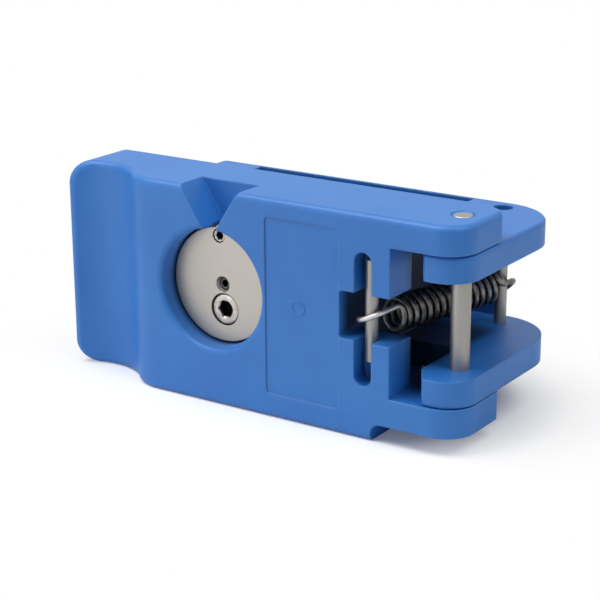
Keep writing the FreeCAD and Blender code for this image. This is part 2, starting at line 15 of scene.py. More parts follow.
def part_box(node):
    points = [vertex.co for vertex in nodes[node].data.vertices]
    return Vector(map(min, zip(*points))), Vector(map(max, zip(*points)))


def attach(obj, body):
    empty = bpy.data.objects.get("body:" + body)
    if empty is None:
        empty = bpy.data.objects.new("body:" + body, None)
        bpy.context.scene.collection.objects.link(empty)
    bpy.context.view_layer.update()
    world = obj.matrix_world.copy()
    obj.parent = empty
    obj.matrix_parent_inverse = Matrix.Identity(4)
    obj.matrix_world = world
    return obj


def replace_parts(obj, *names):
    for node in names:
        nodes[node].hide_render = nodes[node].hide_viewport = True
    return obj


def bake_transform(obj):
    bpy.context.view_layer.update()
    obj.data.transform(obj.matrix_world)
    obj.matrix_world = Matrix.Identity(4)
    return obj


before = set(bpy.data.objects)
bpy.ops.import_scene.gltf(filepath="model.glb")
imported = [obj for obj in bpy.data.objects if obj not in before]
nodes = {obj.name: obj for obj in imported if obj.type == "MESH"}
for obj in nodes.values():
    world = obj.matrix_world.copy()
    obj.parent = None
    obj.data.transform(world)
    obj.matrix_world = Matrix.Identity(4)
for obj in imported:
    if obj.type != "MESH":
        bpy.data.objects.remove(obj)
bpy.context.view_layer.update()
MM = 0.001


# %% [markdown]
# A surface from a grid
# A piece here is a grid of points: one parameter goes along it and the other goes round it. Blender could
# also spin or sweep a curve, but a grid keeps the formula in view and gives the same mesh each time. Rings
# of no size close the ends, and merging equal points turns each of them into one tip. Two short helpers read
# places and sizes from the solids' boxes, so that a changed solid changes its piece too.

# %% Grid to mesh
same_point = 1e-7
sharp_edge = math.radians(35)


def surface(name, points, body, finish):
    """A closed skin: points[i, j] is station i along the piece and place j round it, and the last place
    joins the first. The piece rides on the body, where one is given."""
    stations, places = points.shape[:2]
    mesh = bpy.data.meshes.new(name)
    index = np.arange(stations * places).reshape(stations, places)
    ahead = np.roll(index, -1, axis=1)
    quads = np.stack([index[:-1], ahead[:-1], ahead[1:], index[1:]], axis=-1).reshape(-1, 4)
    mesh.from_pydata(points.reshape(-1, 3), [], quads.tolist())
    shell = bmesh.new()
    shell.from_mesh(mesh)
    bmesh.ops.remove_doubles(shell, verts=shell.verts, dist=same_point)
    bmesh.ops.recalc_face_normals(shell, faces=shell.faces)
    shell.to_mesh(mesh)
    shell.free()
    mesh.shade_smooth()
    mesh.set_sharp_from_angle(angle=sharp_edge)
    mesh.materials.append(finish)
    piece = bpy.data.objects.new(name, mesh)
    bpy.context.scene.collection.objects.link(piece)
    if body:
        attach(piece, body)
    print(name, "faces:", len(mesh.polygons))
    return piece

# %% Places and sizes from the frame
def middle(node):
    """The centre of a solid's box."""
    low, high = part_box(node)
    return (np.array(low) + np.array(high)) / 2


def extent(node, axis):
    """How long a solid's box is along one axis."""
    low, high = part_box(node)
    return getattr(high, axis) - getattr(low, axis)


print("hinge pin's length in mm:", round(extent("hinge_pin", "z") / MM, 1))

# %% [markdown]
# Shader sums in plain Python
# A finish is a small network of nodes. Linking each by hand hides what it means, so one class stands for a
# socket and turns `1 - mask` into a Math node, and one method adds any other node with its settings and its
# inputs. The world's light is a network too, so that method belongs to both.

# %% Sockets that can be added and multiplied
class Flow:
    """One output socket. Sums, products and powers of it add Math nodes to its network."""

    def __init__(self, network, socket):
        self.network = network
        self.socket = socket

    def math(self, operation, first, second):
        """Adds one Math node on two values."""
        return self.network.node("ShaderNodeMath", {"operation": operation}, {0: first, 1: second})

    def __add__(self, other):
        return self.math("ADD", self, other)

    def __radd__(self, other):
        return self.math("ADD", other, self)

    def __sub__(self, other):
        return self.math("SUBTRACT", self, other)

    def __rsub__(self, other):
        return self.math("SUBTRACT", other, self)

    def __mul__(self, other):
        return self.math("MULTIPLY", self, other)

    def __rmul__(self, other):
        return self.math("MULTIPLY", other, self)

    def __pow__(self, other):
        return self.math("POWER", self, other)

    def __rpow__(self, other):
        return self.math("POWER", other, self)


print("operators:", [name for name in vars(Flow) if name.startswith("__r")])

# %% Any other node
class Network:
    """A tree of nodes, to which one method adds a node of any kind."""

    def __init__(self, tree):
        self.tree = tree

    def node(self, kind, settings=None, values=None, output=0):
        """Adds a node: its settings first, then its sockets, each a number, a colour or another flow."""
        node = self.tree.nodes.new(kind)
        for key, value in (settings or {}).items():
            if key == "stops":
                self.set_stops(node.color_ramp.elements, value)
            else:
                setattr(node, key, value)
        for key, value in (values or {}).items():
            if isinstance(value, Flow):
                self.tree.links.new(value.socket, node.inputs[key])
            else:
                node.inputs[key].default_value = value
        return Flow(self, node.outputs[output])

    def set_stops(self, elements, stops):
        """Puts grey stops, each a place and a level, where a new ramp has its black and its white one."""
        for place, level in stops:
            elements.new(place).color = (level, level, level, 1)
        elements.remove(elements[-1])
        elements.remove(elements[0])


print("one method for all other nodes:", Network.node.__name__)

# %% [markdown]
# A finish and its patterns
# Real surfaces differ by what was done to them: moulded, turned, ground, rubbed, soiled. Each of these is a
# pattern over the piece, so a finish has a method for each kind. Some read a point's Object coordinates, and
# some read the shape round it. Image textures would need unwrapped pieces, and a formula doesn't.

# %% Patterns
class Finish(Network):
    """A material with one surface shader, and the patterns that feed it."""

    def __init__(self, name, **constants):
        self.material = bpy.data.materials.new(name)
        self.material.use_nodes = True
        super().__init__(self.material.node_tree)
        self.shader = self.tree.nodes["Principled BSDF"]
        for socket, value in constants.items():
            self.shader.inputs[socket.replace("_", " ")].default_value = value

    def place(self):
        """Where a point lies, in metres in the tool's own frame, as three lengths."""
        spot = self.node("ShaderNodeTexCoord", output="Object")
        parts = self.node("ShaderNodeSeparateXYZ", {}, {0: spot})
        return [Flow(self, socket) for socket in parts.socket.node.outputs]

    def noise(self, scale, detail):
        """Smooth noise from 0 to 1, with about `scale` spots to the metre."""
        spot = self.node("ShaderNodeTexCoord", output="Object")
        return self.node("ShaderNodeTexNoise", {}, {"Vector": spot, "Scale": scale, "Detail": detail})

    def lines(self, length, scale):
        """Noise that changes only with one length, which draws fine parallel tool marks."""
        values = {"W": length * scale, "Scale": 1.0, "Detail": 3.0}
        return self.node("ShaderNodeTexNoise", {"noise_dimensions": "1D"}, values)

    def ramp(self, value, *stops):
        """A level between 0 and 1 that follows a value from stop to stop."""
        return self.node("ShaderNodeValToRGB", {"stops": stops}, {0: value})

    def blend(self, amount, first, second):
        """A colour between two others."""
        values = {0: amount, 6: first, 7: second}
        return self.node("ShaderNodeMix", {"data_type": "RGBA"}, values, output=2)

    def rounded(self, radius):
        """The normal of a surface whose sharp edges are rounded over by this radius."""
        return self.node("ShaderNodeBevel", {"samples": 8}, {"Radius": radius})

    def edge(self, rounded):
        """1 where the rounded normal leaves the true one, at edges, and 0 on flats."""
        true = self.node("ShaderNodeNewGeometry", output="Normal")
        dot = {"operation": "DOT_PRODUCT"}
        return 1 - self.node("ShaderNodeVectorMath", dot, {0: rounded, 1: true}, output="Value")

    def openness(self, reach):
        """1 on open surfaces and towards 0 in the piece's own recesses that are narrower than this reach."""
        settings = {"samples": 12, "only_local": True}
        return self.node("ShaderNodeAmbientOcclusion", settings, {"Distance": reach}, output="AO")

    def within(self, length, low, high, fade):
        """1 between two lengths and 0 outside them, with a soft edge as wide as `fade` inside each. The
        lengths lie a margin inside the ramp's ends, so that both ends hold the 0 outside."""
        margin = 0.1
        per_length = (1 - 2 * margin) / (high - low)
        inner = margin + fade * per_length
        stops = [(margin, 0.0), (inner, 1.0), (1 - inner, 1.0), (1 - margin, 0.0)]
        return self.ramp(margin + (length - low) * per_length, *stops)

    def soft_box(self, low, high, fade):
        """1 inside a box between two corners and 0 outside it, with soft sides."""
        across, deep, up = [self.within(*side) for side in zip(self.place(), low, high, fade)]
        return across * deep * up

    def bump(self, height, strength, distance, **normal):
        """The normal of a surface that this height raises, on the given Normal or on the true one."""
        return self.node("ShaderNodeBump", {}, {
            "Strength": strength, "Distance": distance, "Height": height, **normal})

    def feed(self, **flows):
        """Links flows to the shader's sockets and gives the finished material."""
        for socket, flow in flows.items():
            self.tree.links.new(flow.socket, self.shader.inputs[socket.replace("_", " ")])
        return self.material


print("methods of a finish:", [name for name in vars(Finish) if not name.startswith("__")])

# %% [markdown]
# Blue moulded plastic
# The jaws are thick injection mouldings in a strong blue with a satin skin. One flat blue would look like
# paint, so the colour drifts a little where the melt flowed, the spark-eroded mould leaves a fine grain, and
# handling rubs the outer edges paler. A bevel normal rounds the sharp edges of the solids as a moulding's
# are. Painted shade darkens the narrow recesses, and darkens nearly black the bay round the spring, the
# notch of its hook and the gap round the carrier. An occlusion node finds the recesses by shape alone, and
# the three shaded places are soft boxes in the tool's own frame.

# %% Colours as they are seen
def tint(red, green, blue):
    """A colour as it is seen on a screen, 0 to 255, turned into the light values that a shader takes."""
    seen = np.array([red, green, blue]) / 255
    light = np.where(seen <= 0.04045, seen / 12.92, ((seen + 0.055) / 1.055) ** 2.4)
    return (*light.tolist(), 1.0)


print("middle grey as light:", round(tint(128, 128, 128)[0], 3))

# %% Jaw finish
# A place of painted shade is a low corner, a high corner and the width of its soft sides, in millimetres.
spring_bay = np.array([[31, -25, 13], [61, 22, 60.2], [3.5, 7, 1.5]]) * MM
hook_notch = np.array([[31, -32, 31], [46, -15, 46], [2.5, 4, 1]]) * MM
carrier_gap = np.array([[-33, -29, 17.5], [6, -18, 57.5], [0.5, 2.5, 0.5]]) * MM
gap_shade_share = 0.8

mould_rounding = 0.8 * MM
inner_corner_reach = 4 * MM
recess_shade_reach = 24 * MM
grain_height = 0.05 * MM
cool_blue, warm_blue = tint(36, 106, 183), tint(43, 114, 190)
rubbed_blue = tint(128, 170, 216)
# The next two colours are painted shade: one for recesses, and one nearly black for the three boxes.
painted_recess_shade = tint(8, 22, 50)
box_shade_colour = tint(6, 13, 28)


def moulded_blue():
    """Blue that drifts with the melt, then rubbed edges, then painted shade by openness, then painted shade
    in three boxes.
    """
    skin = Finish("moulded_blue_plastic", IOR=1.5, Specular_IOR_Level=0.46)
    melt = skin.noise(26, 3)
    cloud = skin.noise(140, 4)
    grain = skin.noise(2400, 3)
    soft_edge = skin.rounded(mould_rounding)
    drift = skin.ramp(melt * 0.7 + cloud * 0.3, (0.35, 0.0), (0.65, 1.0))
    blue = skin.blend(drift, cool_blue, warm_blue)
    any_edge = skin.ramp(skin.edge(soft_edge), (0.02, 0.0), (0.22, 1.0))
    outside = skin.ramp(skin.openness(inner_corner_reach), (0.8, 0.0), (0.95, 1.0))
    worn = skin.blend(any_edge * outside * (0.08 + 0.3 * cloud), blue, rubbed_blue)
    # Painted shade: the colour darkens where the piece's own recesses close in.
    unshaded_recess = skin.ramp(skin.openness(recess_shade_reach), (0.06, 0.0), (0.26, 1.0))
    recess_shaded = skin.blend(unshaded_recess, painted_recess_shade, worn)
    # Painted shade: nearly black in the bay round the spring, the hook's notch and the gap round the
    # carrier.
    unshaded_bay = 1 - skin.soft_box(*spring_bay)
    unshaded_notch = 1 - skin.soft_box(*hook_notch)
    unshaded_gap = 1 - gap_shade_share * skin.soft_box(*carrier_gap)
    shade_in_boxes = (1 - unshaded_bay * unshaded_notch * unshaded_gap) * (0.75 + 0.25 * cloud)
    return skin.feed(
        Base_Color=skin.blend(shade_in_boxes, recess_shaded, box_shade_colour),
        Roughness=0.36 + 0.14 * grain + 0.06 * cloud,
        Normal=skin.bump(grain, 0.16, grain_height, Normal=soft_edge))


blue_plastic = moulded_blue()
print(blue_plastic.name, "nodes:", len(blue_plastic.node_tree.nodes))

# %% [markdown]
# Turned and ground steel
# The carrier was turned on a lathe, which leaves fine rings round its axis. The pins, the blade and the
# rollers have fine marks across their length, from grinding or turning. Both are noise that reads only one
# length: the distance from an axis, or the place along one. An anisotropic shader would need tangents and
# would show no single marks.

# %% Turned and ground steel
axes = "xyz"


def darker(colour, share):
    """A colour at a share of its light."""
    return (*[share * value for value in colour[:3]], 1.0)


def turned_steel(name, colour, centre, across, rough):
    """Rings round an axis: the noise reads only the distance from it, which is the root of the sum of the
    squares of two lengths. `across` names their axes."""
    steel = Finish(name, Metallic=1.0)
    parts = steel.place()
    first, second = [parts[axes.index(axis)] - centre[axes.index(axis)] for axis in across]
    rings = steel.lines((first * first + second * second) ** 0.5, 5200)
    haze = steel.noise(60, 3)
    return steel.feed(
        Base_Color=steel.blend(0.35 * rings + 0.4 * haze, colour, darker(colour, 0.82)),
        Roughness=rough + 0.1 * rings + 0.08 * haze,
        Normal=steel.bump(rings, 0.12, 0.02 * MM, Normal=steel.rounded(0.25 * MM)))


def ground_steel(name, colour, along, rough):
    """Fine marks across an axis: the noise reads only the place along it."""
    steel = Finish(name, Metallic=1.0)
    marks = steel.lines(steel.place()[axes.index(along)], 9000)
    haze = steel.noise(120, 3)
    return steel.feed(
        Base_Color=steel.blend(0.3 * marks + 0.4 * haze, colour, darker(colour, 0.75)),
        Roughness=rough + 0.12 * marks + 0.08 * haze,
        Normal=steel.bump(marks, 0.1, 0.015 * MM, Normal=steel.rounded(0.2 * MM)))


carrier_place = middle("blade_carrier")
carrier_finish = turned_steel("turned_carrier_steel", tint(178, 173, 166), carrier_place, "xz", 0.36)
pin_finish = ground_steel("ground_pin_steel", tint(160, 158, 154), "z", 0.36)
blade_finish = ground_steel("ground_blade_steel", tint(205, 206, 208), "z", 0.22)
roller_finish = ground_steel("turned_roller_steel", tint(186, 186, 186), "z", 0.3)
print(carrier_finish.name, pin_finish.name, blade_finish.name, roller_finish.name)

# %% [markdown]
# Drawn wire and screws
# Spring wire is drawn and oiled, so it is dark with brighter streaks. Its front hook is painted bright, as a
# highlight and where the pin rubs it, and painted shade darkens the wire between and inside the turns.
# Screws are the same steel in a paler grade, and their sockets are painted black as shade and old oil. The
# metal is one function, and each painted mark is a choice.

# %% Spring wire and screws
# The next colours are painted: shade in the coil's turns, shade and oil in the sockets, a highlight and rub
# on the front hook.
painted_coil_shade = tint(14, 13, 12)
socket_oil_and_shade = tint(22, 21, 20)
hook_rub_and_highlight = tint(196, 193, 187)
oil_and_shade_depth = 0.9 * MM
rub_and_highlight_start, rub_and_highlight_end = 7 * MM, 10 * MM
rub_and_highlight_span = 20 * MM


def drawn_wire(name, dark, bright, oil_and_shade_from=None, coil_shade_reach=None, rub_and_highlight_at=None):
    """Dark scale with bright streaks by noise. The last three arguments each add a mark: behind a depth it
    turns black as painted shade and oil, in hollows narrower than a reach it is darkened as painted shade,
    and near an upright axis it is painted bright as a highlight and a rub."""
    steel = Finish(name, Metallic=1.0)
    streak = steel.noise(420, 4)
    fine = steel.noise(2600, 2)
    show = steel.ramp(streak, (0.42, 0.0), (0.68, 1.0))
    colour = steel.blend(show, dark, bright)
    rough = 0.3 + 0.16 * fine + 0.06 * streak
    # Painted shade and oil: black behind a depth, as in the screw sockets.
    if oil_and_shade_from is not None:
        depth = steel.place()[1] - oil_and_shade_from
        oiled_and_shaded = steel.ramp(depth * (1 / MM), (0.0, 0.0), (oil_and_shade_depth / MM, 1.0))
        colour = steel.blend(oiled_and_shaded, colour, socket_oil_and_shade)
        rough = rough + 0.3 * oiled_and_shaded
    # Painted shade: darker where the turns close in round the wire.
    if coil_shade_reach is not None:
        outside = steel.ramp(steel.openness(coil_shade_reach), (0.3, 0.0), (0.7, 1.0))
        colour = steel.blend(outside, painted_coil_shade, colour)
    # Painted highlight and rub: brighter near an upright axis, at the front pin.
    if rub_and_highlight_at is not None:
        x, y, _ = [part - start for part, start in zip(steel.place(), rub_and_highlight_at)]
        away = (x * x + y * y) ** 0.5 * (1 / rub_and_highlight_span)
        unrubbed_unlit = steel.ramp(away, (rub_and_highlight_start / rub_and_highlight_span, 0.0), (rub_and_highlight_end / rub_and_highlight_span, 1.0))
        colour = steel.blend(unrubbed_unlit, hook_rub_and_highlight, colour)
    return steel.feed(Base_Color=colour, Roughness=rough, Normal=steel.bump(fine, 0.12, 0.02 * MM))


carrier_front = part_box("blade_carrier")[0].y
wire_dark, wire_bright = tint(82, 80, 79), tint(138, 135, 130)
wire_finish = drawn_wire("dark_index_wire", wire_dark, wire_bright)
spring_finish = drawn_wire("dark_spring_wire", wire_dark, wire_bright,
                           coil_shade_reach=6 * MM, rub_and_highlight_at=middle("front_spring_pin"))
screw_finish = drawn_wire("plain_screw_steel", tint(172, 168, 163), tint(200, 196, 190),
                          oil_and_shade_from=carrier_front + 0.55 * MM)
ring_finish = drawn_wire("phosphated_ring_steel", tint(70, 70, 72), tint(96, 95, 94))
print(wire_finish.name, spring_finish.name, screw_finish.name, ring_finish.name)

# %% [markdown]
# Finishes on the solids
# Every solid gets its finish here, also those that a smoother piece replaces further down, so that no
# surface is left plain if a piece is taken away again. The jaws, the carrier, the blade, the washer, the
# retaining ring, the index spring, its ball and the axles keep their own shape and need nothing more.

# %% Finishes on the solids
finished_nodes = [
    (blue_plastic, ["front_jaw", "rear_jaw"]),
    (carrier_finish, ["blade_carrier"]),
    (blade_finish, ["cutting_blade"]),
    (ring_finish, ["carrier_retaining_ring"]),
    (wire_finish, ["index_spring"]),
    (spring_finish, ["tension_spring"]),
    (screw_finish, ["blade_clamp_screw", "blade_depth_screw", "index_plunger"]),
    (roller_finish, ["left_guide_roller", "right_guide_roller"]),
    (pin_finish, ["hinge_pin", "front_spring_pin", "rear_spring_pin", "carrier_thrust_washer", "index_ball",
                  "left_roller_axle", "right_roller_axle"])]
for finish, names in finished_nodes:
    for name in names:
        nodes[name].data.materials.clear()
        nodes[name].data.materials.append(finish)
print("finished solids:", sum(len(names) for finish, names in finished_nodes))

# %% [markdown]
# Dowel pins
# A dowel pin is a ground rod with rounded ends. A lathe makes it, so it is a profile of radius and height
# that is carried once round its axis. More places round it than the solid has keep its highlight an even
# line.

# %% Lathe profiles and dowels
pin_rounding = 0.5 * MM
pin_places = 72


def once_round(places):
    """Evenly spaced angles once round an axis."""
    return np.linspace(0, 2 * math.pi, places, endpoint=False)


def turned(profile, centre, places):
    """Carries (radius, height) pairs round an upright axis through centre: x and y are the centre plus
    radius times the cosine and sine of the angle, and z is the height."""
    radius, height = np.array(profile).T
    angle = once_round(places)
    x = centre[0] + np.outer(radius, np.cos(angle))
    y = centre[1] + np.outer(radius, np.sin(angle))
    z = np.repeat(height[:, None], places, axis=1)
    return np.stack([x, y, z], axis=-1)


def rounding(radius, height, size, start, end, steps=5):
    """A quarter round of a profile: points on a circle of `size` about (radius, height), from one angle in
    degrees to another."""
    turn = np.radians(np.linspace(start, end, steps))
    return list(zip(radius + size * np.cos(turn), height + size * np.sin(turn)))


def outer_profile(node, size, waist=()):
    """The outside of a rod or sleeve from its foot to its top, with both rims rounded over by `size`."""
    low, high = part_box(node)
    rim = extent(node, "x") / 2 - size
    return [*rounding(rim, low.z + size, size, -90, 0), *waist, *rounding(rim, high.z - size, size, 0, 90)]


def dowel(name, node, body):
    """A rod with rounded ends in the place of a solid pin."""
    low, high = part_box(node)
    profile = [(0, low.z), *outer_profile(node, pin_rounding), (0, high.z)]
    pin = surface(name, turned(profile, middle(node), pin_places), body, pin_finish)
    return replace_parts(pin, node)


dowel("hinge_dowel", "hinge_pin", "front_jaw")
dowel("front_spring_dowel", "front_spring_pin", "front_jaw")
dowel("rear_spring_dowel", "rear_spring_pin", "rear_jaw")

# %% [markdown]
# Guide rollers
# Two turned sleeves spin on axles in the rear jaw and let the cable roll as the tool goes round it. The
# profile goes up the outside and down the bore, so the sleeve stays open round its axle. A fine turned line
# goes round its waist.

# %% Guide rollers
roller_places = 64
roller_rounding = 0.8 * MM
waist_groove = 0.25 * MM
axle_clearance = 0.05 * MM


def guide_roller(side):
    """A sleeve: up the outside with two rounded rims and a groove between them, and down inside the bore."""
    node = side + "_guide_roller"
    low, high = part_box(node)
    radius = extent(node, "x") / 2
    bore = extent(side + "_roller_axle", "x") / 2 + axle_clearance
    waist = (low.z + high.z) / 2
    groove = [(radius, waist - waist_groove), (radius - waist_groove, waist), (radius, waist + waist_groove)]
    outside = outer_profile(node, roller_rounding, groove)
    profile = [(bore, low.z), *outside, (bore, high.z), (bore, low.z)]
    points = turned(profile, middle(node), roller_places)
    roller = surface(side + "_roller_sleeve", points, node, roller_finish)
    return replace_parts(roller, node)


guide_roller("left")
guide_roller("right")

# %% [markdown]
# Ejector mark
# In the middle of the front panel a small ring shows where a pin pushed the moulding out of its mould. A
# bump would vanish from the side, so it is a low ridge that closes on itself: its profile goes up, over and
# down, and back under the skin of the plastic.

# %% Ring on the panel
panel_depth = 0.4 * MM
ring_x, ring_z = 19.9 * MM, 37.2 * MM
ring_inner, ring_outer = 1.9 * MM, 2.5 * MM
ring_height = 0.15 * MM
ring_places = 64


def round_front_axis(reach, depth, centre, angle):
    """Carries a profile round an axis from front to back: x and z are the centre plus the reach times the
    cosine and sine of the angle, and y is the depth."""
    x = centre[0] + reach * np.cos(angle)
    z = centre[2] + reach * np.sin(angle)
    y = np.broadcast_to(depth[:, None], x.shape)
    return np.stack([x, y, z], axis=-1)


def ejector_ring():
    """A low hump between two radii, with sides that slope as far as they rise, closed below the panel."""
    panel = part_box("front_jaw")[0].y + panel_depth
    top, foot = panel - ring_height, panel + ring_height
    radius = np.array([ring_inner, ring_inner + ring_height, ring_outer - ring_height, ring_outer,
                       ring_outer, ring_inner, ring_inner])
    depth = np.array([panel, top, top, panel, foot, foot, panel])
    points = round_front_axis(radius[:, None], depth, (ring_x, panel, ring_z), once_round(ring_places))
    return surface("ejector_ring", points, "front_jaw", blue_plastic)


ejector_ring()

# %% [markdown]
# Tension spring
# The spring is one wire: a hook round the front pin, a close coil, and a hook round the rear pin. A curve
# with a bevel would do, but its twist is out of reach, so the wire's line is written piece by piece along
# the line between the pins, with a direction beside it that never turns parallel to the wire.

# %% Spring sizes and axes
wire = 1.7 * MM
coil_radius = 4.7 * MM
coil_turns = 14.5
front_hook_length = 8.8 * MM
rear_hook_length = 5.8 * MM
hook_bend = 2.2 * MM
hook_slack = 0.3 * MM
hook_dip = math.radians(6)
front_tail, rear_tail = np.radians([50, 20])
front_tilt, rear_tilt = np.radians([22, 42])
spring_height = 36.0 * MM

front_end = np.array([*middle("front_spring_pin")[:2], spring_height])
rear_end = np.array([*middle("rear_spring_pin")[:2], spring_height])
span = np.linalg.norm(rear_end - front_end)
along = (rear_end - front_end) / span
level = np.array([-along[1], along[0], 0.0])
pin_radius = extent("front_spring_pin", "x") / 2


def turned_axes(tilt):
    """The spring's own axes as rows: along it, across it and below it, turned about it by `tilt`."""
    across = level * math.cos(tilt) - np.array([0, 0, math.sin(tilt)])
    return np.stack([along, across, np.cross(across, along)])


front_axes, rear_axes = turned_axes(front_tilt), turned_axes(rear_tilt)
print("spring span in mm:", round(span / MM, 2))

# %% [markdown]
# The wire's line
# Each hook is part of a circle that passes round its pin, a straight run beside it and a small bend into
# the coil. The two hooks are turned differently about the spring, as they are on the real one, so each has
# its own axes. The coil is a helix, and it ends where the turned rear hook begins.

# %% The wire's line
loop_steps, run_steps, bend_steps = 40, 4, 12
steps_per_turn = 36
coil_end_steps = 40


def hook(pin, way, hook_length, tail):
    """One hook as rows of (u, v, w) and a side direction: part of a circle round the pin, a straight run
    that rises beside it, and a bend down to the coil. way is 1 at the front and -1 at the rear."""
    bend_centre = pin + way * (hook_length - hook_bend)
    bend_start = bend_centre - way * hook_bend * math.sin(hook_dip)
    loop_centre = pin + way * (coil_radius - pin_radius - wire / 2 - hook_slack)
    run = abs(bend_start - loop_centre) / math.cos(hook_dip)
    turn = np.linspace(tail, -math.pi / 2, loop_steps)
    out = np.concatenate([run + coil_radius * np.cos(turn), np.linspace(run, 0, run_steps + 2)[1:-1]])
    swing = np.linspace(math.pi / 2 + hook_dip, 0, bend_steps)
    rise = out * math.sin(hook_dip) - hook_bend * math.cos(hook_dip)
    u = np.concatenate([bend_start - way * out * math.cos(hook_dip),
                        bend_centre + way * hook_bend * np.cos(swing)])
    v = np.concatenate([coil_radius * np.sin(turn), np.full(run_steps + bend_steps, -coil_radius)])
    w = way * np.concatenate([rise, -hook_bend * np.sin(swing)])
    lean = np.concatenate([np.full(out.size, swing[0]), swing])
    side = np.stack([-np.cos(lean), np.zeros(lean.size), np.sin(lean)], axis=1)
    return np.stack([u, v, w], axis=1), side


def helix():
    """The coil as rows of (u, v, w): a circle by the sine and cosine of theta that moves along u in step
    with theta, with a part of a turn at each end that does not move along."""
    full_turns = 2 * math.pi * coil_turns
    last = full_turns + math.pi / 2 + front_tilt - rear_tilt
    theta = np.linspace(-math.pi / 2, last, round(steps_per_turn * coil_turns) + coil_end_steps)[1:-1]
    coil_length = span - front_hook_length - rear_hook_length
    u = front_hook_length + coil_length * np.clip(theta / full_turns, 0, 1)
    return np.stack([u, coil_radius * np.sin(theta), coil_radius * np.cos(theta)], axis=1)


coil = helix()
coil_side = np.tile([-1.0, 0.0, 0.0], (len(coil), 1))
front_hook, front_side = hook(0.0, 1, front_hook_length, front_tail)
rear_hook, rear_side = hook(span, -1, rear_hook_length, rear_tail)
line = np.concatenate([front_hook @ front_axes, coil @ front_axes, rear_hook[::-1] @ rear_axes]) + front_end
side = np.concatenate([front_side @ front_axes, coil_side @ front_axes, rear_side[::-1] @ rear_axes])
print("wire stations:", len(line))

# %% [markdown]
# The wire itself
# A drawn wire is round all the way, so a circle is carried along the line. Opening the jaws stretches the
# spring, but this piece rides on no body and does not bend with them.

# %% The wire itself
def wire_skin(line, side, radius, places=16):
    """A round wire: each station is a circle across the line's direction, and shrinking circles dome each
    end. The circle lies on two directions: the side without its part along the line, and a cross product."""
    heading = np.gradient(line, axis=0)
    heading /= np.linalg.norm(heading, axis=1, keepdims=True)
    dome = np.radians([90, 60, 30])
    start = line[0] - np.outer(radius * np.sin(dome), heading[0])
    end = line[-1] + np.outer(radius * np.sin(dome[::-1]), heading[-1])
    size = np.concatenate([radius * np.cos(dome), np.full(len(line), radius), radius * np.cos(dome[::-1])])
    line = np.concatenate([start, line, end])
    heading = np.pad(heading, [(dome.size, dome.size), (0, 0)], mode="edge")
    side = np.pad(side, [(dome.size, dome.size), (0, 0)], mode="edge")
    out = side - heading * np.sum(side * heading, axis=1, keepdims=True)
    out /= np.linalg.norm(out, axis=1, keepdims=True)
    up = np.cross(heading, out)
    angle = once_round(places)[None, :, None]
    ring = out[:, None] * np.cos(angle) + up[:, None] * np.sin(angle)
    return line[:, None] + size[:, None, None] * ring


spring = surface("hooked_tension_spring", wire_skin(line, side, wire / 2), None, spring_finish)
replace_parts(spring, "tension_spring")
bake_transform(spring)

# %% [markdown]
# Socket screws
# Three screws show on the carrier: the blade's clamp screw with its round head, the small depth screw on
# the centre and the index plunger near the rim. Each is a lathe profile whose socket is not round, so every
# station says how far its outline is from a circle towards a hexagon.

# %% Screw surface and socket
carrier_turn = math.radians(-4.5)


def socket_screw(name, node, stations, places=96):
    """Carries stations (radius in mm, depth in mm, hexagon share) round an axis from front to back. A
    hexagon's reach at an angle is half its width over the cosine of the angle from the nearest flat. The
    flats are turned as far as the carrier is."""
    radius, depth, share = np.array(stations).T
    angle = once_round(places)
    flat = np.mod(angle, math.pi / 3) - math.pi / 6
    hexagon = 1 / np.cos(flat)
    reach = radius[:, None] * MM * (1 + share[:, None] * (hexagon - 1))
    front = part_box(node)[0].y
    points = round_front_axis(reach, front + depth * MM, middle(node), angle - carrier_turn)
    screw = surface(name, points, "blade_carrier", screw_finish)
    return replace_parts(screw, node)


def socket(half_width, depth, drill, point, chamfer, mouth):
    """A hexagon socket in mm from its floor to its mouth: a drill point, six flats and a round chamfer."""
    return [(0, depth + point, 0), (drill, depth, 0), (half_width, depth, 1), (half_width, chamfer, 1),
            (mouth, 0, 0)]


print("carrier turned by degrees:", round(math.degrees(carrier_turn), 1))

# %% [markdown]
# Clamp screw, depth screw and index plunger
# The clamp screw is a cap screw with a rounded head on a thinner shank. The depth screw is a short grub
# screw with a chamfer at both ends. The index plunger is a grub screw with a bore from behind, where its
# spring and ball sit. Sizes are in millimetres. The clamp screw has those of a common 6 mm cap screw, and
# the other two are near the usual sizes of small grub screws.

# %% Clamp screw
head, head_height, head_round = 5.0, 6.0, 0.7
shank, shank_chamfer = 3.0, 0.5
clamp_length = extent("blade_clamp_screw", "y") / MM
socket_screw("clamp_cap_screw", "blade_clamp_screw", [
    *socket(2.5, 3.2, drill=1.4, point=0.5, chamfer=0.35, mouth=2.95),
    (head - head_round, 0, 0), (head - 0.35, 0.1, 0), (head - 0.1, 0.35, 0), (head, head_round, 0),
    (head, head_height, 0), (shank, head_height, 0), (shank, clamp_length - shank_chamfer, 0),
    (shank - shank_chamfer, clamp_length, 0), (0, clamp_length, 0)])

# %% Depth screw
grub, grub_chamfer = 2.0, 0.4
depth_length = extent("blade_depth_screw", "y") / MM
socket_screw("centre_depth_screw", "blade_depth_screw", [
    *socket(1.1, 2.0, drill=0.6, point=0.3, chamfer=0.15, mouth=1.35),
    (grub - grub_chamfer, 0, 0), (grub, grub_chamfer, 0), (grub, depth_length - grub_chamfer, 0),
    (grub - grub_chamfer, depth_length, 0), (0, depth_length, 0)])

